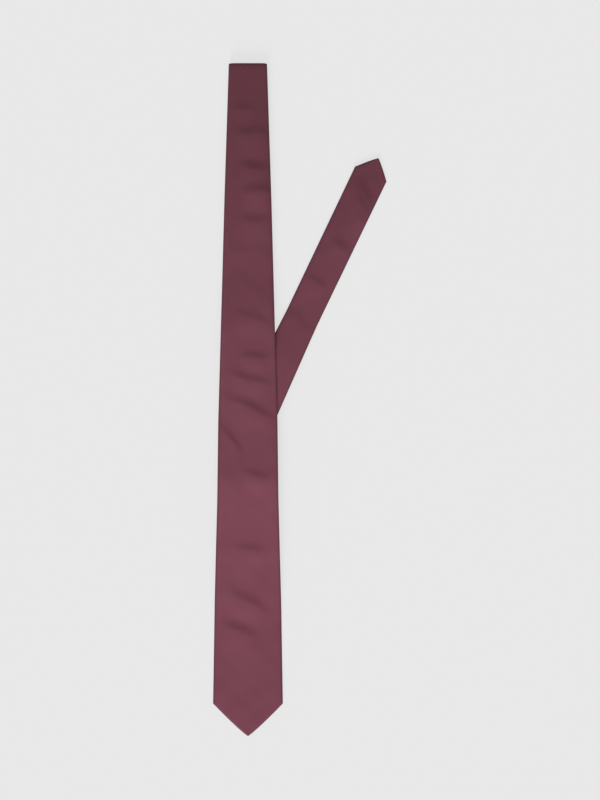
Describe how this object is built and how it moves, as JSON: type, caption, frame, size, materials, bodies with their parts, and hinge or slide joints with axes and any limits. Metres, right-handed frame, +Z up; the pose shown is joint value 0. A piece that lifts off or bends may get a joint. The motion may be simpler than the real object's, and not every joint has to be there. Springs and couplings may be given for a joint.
{
  "type": "necktie",
  "caption": "Hand-folded silk necktie with pointed blade and tail, interlined neck strip, sewn centre back and keeper loop, laid out folded.",
  "frame": {"origin": "on the resting surface, under the middle of the folded tie's box", "axes": "+X to the right with the blade face up, +Y along the blade towards the top fold, +Z up from the surface"},
  "size_m": [0.1892, 0.733, 0.0084],
  "materials": {
    "silk": "matte twill silk",
    "interlining": "brushed wool",
    "tipping": "satin lining",
    "thread": "twisted sewing thread",
    "label": "woven satin ribbon, blank",
    "care_tag": "printed-satin ribbon, blank"
  },
  "bodies": {
    "neck_strip": {"blade_end_over_fold": "silk", "neck_envelope": "silk", "tail_start_envelope": "silk", "neck_interlining": "interlining", "neck_slip_stitch": "thread", "neck_fold_bend": "silk", "tail_turn_bend": "silk"},
    "blade_upper": {"blade_envelope_upper": "silk", "blade_interlining_upper": "interlining", "blade_slip_stitch_upper": "thread"},
    "blade_lower": {"blade_envelope_lower": "silk", "blade_interlining_lower": "interlining", "blade_slip_stitch_lower": "thread", "blade_tipping": "tipping", "blade_bar_tack": "thread", "reserve_thread": "thread", "maker_label": "label", "keeper_ends": "silk", "keeper_tacks": "thread"},
    "keeper": {"keeper_band": "silk"},
    "tail_inner": {"tail_envelope_inner": "silk", "tail_interlining_inner": "interlining", "tail_slip_stitch_inner": "thread"},
    "tail_outer": {"tail_envelope_outer": "silk", "tail_interlining_outer": "interlining", "tail_slip_stitch_outer": "thread", "tail_tipping": "tipping", "tail_bar_tack": "thread", "care_tag": "care_tag"}
  },
  "joints": [
    {"name": "neck_fold", "type": "hinge", "parent": "neck_strip", "child": "blade_upper", "pos_m": [-0.0564, 0.3655, 0.0042], "axis": [-1, 0, 0], "range_deg": [0, 180], "deforming": ["neck_fold_bend"]},
    {"name": "tail_turn", "type": "hinge", "parent": "neck_strip", "child": "tail_inner", "pos_m": [-0.05691, -0.03572, 0.00275], "axis": [0.9751, -0.2215, 0], "range_deg": [0, 180], "deforming": ["tail_turn_bend"]},
    {"name": "blade_bend", "type": "hinge", "parent": "blade_upper", "child": "blade_lower", "pos_m": [-0.0564, -0.075, 0.00694], "axis": [1, 0, 0], "range_deg": [-75, 0]},
    {"name": "tail_bend", "type": "hinge", "parent": "tail_inner", "child": "tail_outer", "pos_m": [0.00409, 0.09276, 0.0013], "axis": [-0.9018, 0.4321, 0], "range_deg": [-75, 0]},
    {"name": "keeper_flatten", "type": "slide", "parent": "blade_lower", "child": "keeper", "axis": [0, 0, -1], "range_m": [-0.0038, 0]}
  ],
  "couplings": [
    {"joint": "tail_turn", "follows": "neck_fold", "ratio": 1}
  ]
}
